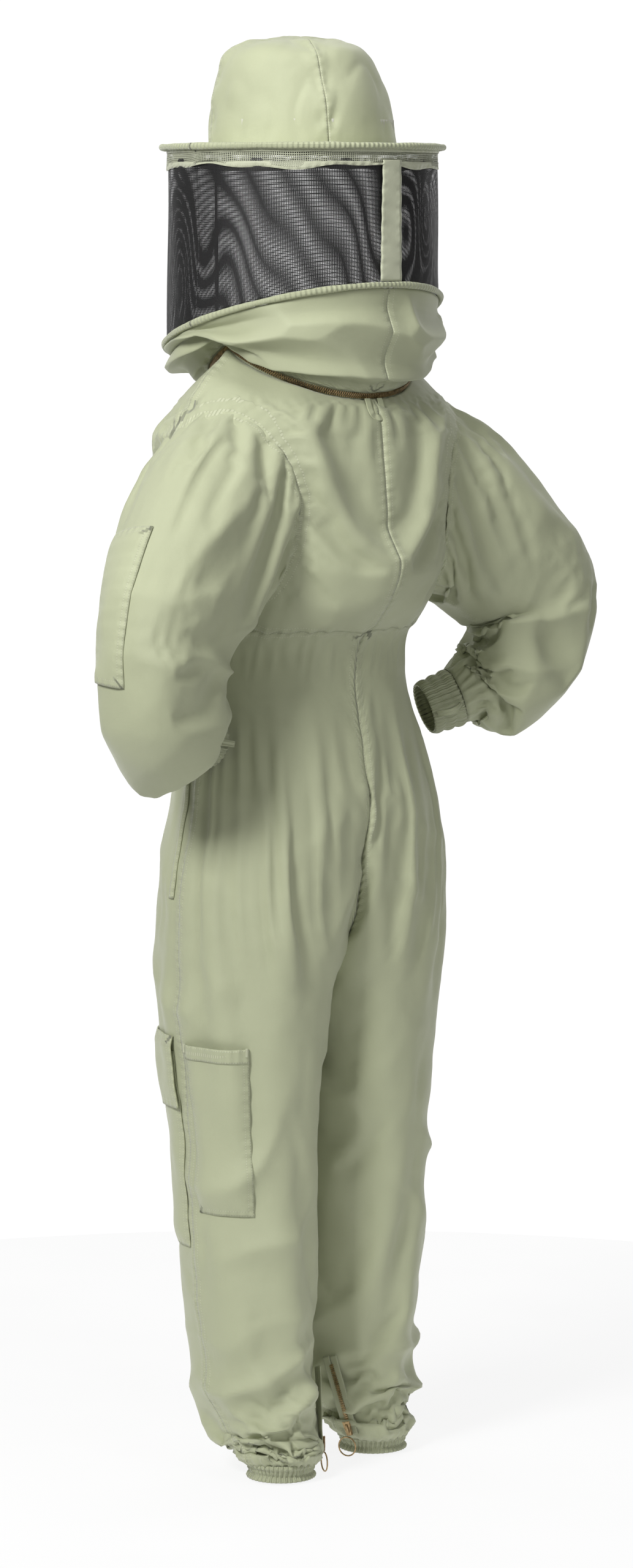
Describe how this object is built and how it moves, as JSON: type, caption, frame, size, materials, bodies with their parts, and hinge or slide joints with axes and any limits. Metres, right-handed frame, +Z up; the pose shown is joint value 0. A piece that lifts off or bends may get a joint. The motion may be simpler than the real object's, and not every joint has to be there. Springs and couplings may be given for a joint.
{
  "type": "beekeeping suit",
  "caption": "Overall with elastic waist, cuffs and ankles, and a brimmed hat with a hooped net veil that zips on at the neck.",
  "frame": {"origin": "between the ankle hems, at hem height, under the middle of the neck", "axes": "+Z up, -Y the front, +X the wearer's left"},
  "size_m": [0.7302, 0.343, 1.7176],
  "materials": {
    "cloth": "mid-weight twill, dry",
    "lining": "thin plain lining",
    "elastic": "gathered elastic",
    "net": "fine black net",
    "mesh": "pale open mesh",
    "tape": "pale woven tape",
    "zip_tape": "zip tape with metal teeth",
    "brass": "aged",
    "spring_steel": "drawn wire"
  },
  "bodies": {
    "suit": {"bodice_front_left": "cloth", "leg_front_left": "cloth", "bodice_back_left": "cloth", "leg_back_left": "cloth", "sleeve_left": "cloth", "bodice_front_right": "cloth", "leg_front_right": "cloth", "bodice_back_right": "cloth", "leg_back_right": "cloth", "sleeve_right": "cloth", "cuff_left": "elastic", "thumb_loop_left": "elastic", "ankle_cuff_left": "elastic", "hip_pocket_left": "lining", "cuff_right": "elastic", "thumb_loop_right": "elastic", "ankle_cuff_right": "elastic", "hip_pocket_right": "lining", "cargo_pocket": "cloth", "thigh_pocket": "cloth", "waist_elastic": "elastic", "sleeve_pocket": "cloth", "neck_zip_lower": "zip_tape", "front_zip_left": "zip_tape", "front_zip_right": "zip_tape", "ankle_zip_left": "zip_tape", "ankle_zip_right": "zip_tape"},
    "hood": {"crown_gore_right": "cloth", "crown_gore_front": "cloth", "crown_gore_back": "cloth", "crown_gore_left": "cloth", "hat_brim": "cloth", "brim_wire": "spring_steel", "brim_binding": "cloth", "sweatband": "elastic", "veil_band": "mesh", "hoop_wire": "spring_steel", "hoop_binding": "cloth", "veil_net": "net", "veil_back_tape": "tape", "collar_left": "cloth", "collar_right": "cloth", "neck_zip_upper": "zip_tape"},
    "front_slider": {"front_slider": "brass"},
    "front_pull": {"front_pull": "brass"},
    "neck_slider_left": {"neck_slider_left": "brass"},
    "neck_slider_right": {"neck_slider_right": "brass"},
    "neck_pull_left": {"neck_pull_left": "brass"},
    "neck_pull_right": {"neck_pull_right": "brass"},
    "ankle_slider_left": {"ankle_slider_left": "brass"},
    "ankle_slider_right": {"ankle_slider_right": "brass"},
    "ankle_ring_left": {"ankle_ring_left": "brass"},
    "ankle_ring_right": {"ankle_ring_right": "brass"},
    "thigh_flap": {"thigh_flap": "cloth"},
    "hang_loop": {"hang_loop": "cloth"}
  },
  "joints": [
    {"name": "hood_lift", "type": "slide", "parent": "suit", "child": "hood", "axis": [0, 0, 1], "range_m": [0, 0.45]},
    {"name": "front_zip_slide", "type": "slide", "parent": "suit", "child": "front_slider", "axis": [0, 0, -1], "range_m": [0, 0.36]},
    {"name": "front_pull_swing", "type": "hinge", "parent": "front_slider", "child": "front_pull", "pos_m": [0, -0.1187, 1.226], "axis": [-1, 0, 0], "range_deg": [0, 100]},
    {"name": "neck_slide_left", "type": "hinge", "parent": "suit", "child": "neck_slider_left", "pos_m": [0, 0.023, 1.344], "axis": [0, -0.464, 0.8858], "range_deg": [0, 65]},
    {"name": "neck_pull_swing_left", "type": "hinge", "parent": "neck_slider_left", "child": "neck_pull_left", "pos_m": [0.01144, -0.09278, 1.28336], "axis": [-0.9962, -0.0772, -0.0404], "range_deg": [0, 30]},
    {"name": "neck_slide_right", "type": "hinge", "parent": "suit", "child": "neck_slider_right", "pos_m": [0, 0.023, 1.344], "axis": [0, -0.464, 0.8858], "range_deg": [-65, 0]},
    {"name": "neck_pull_swing_right", "type": "hinge", "parent": "neck_slider_right", "child": "neck_pull_right", "pos_m": [-0.01144, -0.09278, 1.28336], "axis": [-0.9962, 0.0772, 0.0404], "range_deg": [0, 30]},
    {"name": "ankle_zip_slide_left", "type": "slide", "parent": "suit", "child": "ankle_slider_left", "axis": [-0.1826, -0.2611, 0.9479], "range_m": [0, 0.075]},
    {"name": "ankle_ring_swing_left", "type": "hinge", "parent": "ankle_slider_left", "child": "ankle_ring_left", "pos_m": [0.03524, 0.09005, 0.01458], "axis": [0.3646, 0.9312, 0], "range_deg": [0, 90]},
    {"name": "ankle_zip_slide_right", "type": "slide", "parent": "suit", "child": "ankle_slider_right", "axis": [0.1855, -0.1978, 0.9625], "range_m": [0, 0.075]},
    {"name": "ankle_ring_swing_right", "type": "hinge", "parent": "ankle_slider_right", "child": "ankle_ring_right", "pos_m": [-0.03523, 0.04979, 0.01454], "axis": [0.3646, -0.9312, 0], "range_deg": [0, 90]},
    {"name": "thigh_flap_lift", "type": "hinge", "parent": "suit", "child": "thigh_flap", "pos_m": [0.17595, -0.07708, 0.524], "axis": [-0.5862, -0.8101, 0], "range_deg": [0, 110]},
    {"name": "hang_loop_swing", "type": "hinge", "parent": "suit", "child": "hang_loop", "pos_m": [0, 0.13622, 1.28253], "axis": [1, 0, 0], "range_deg": [0, 60]}
  ]
}
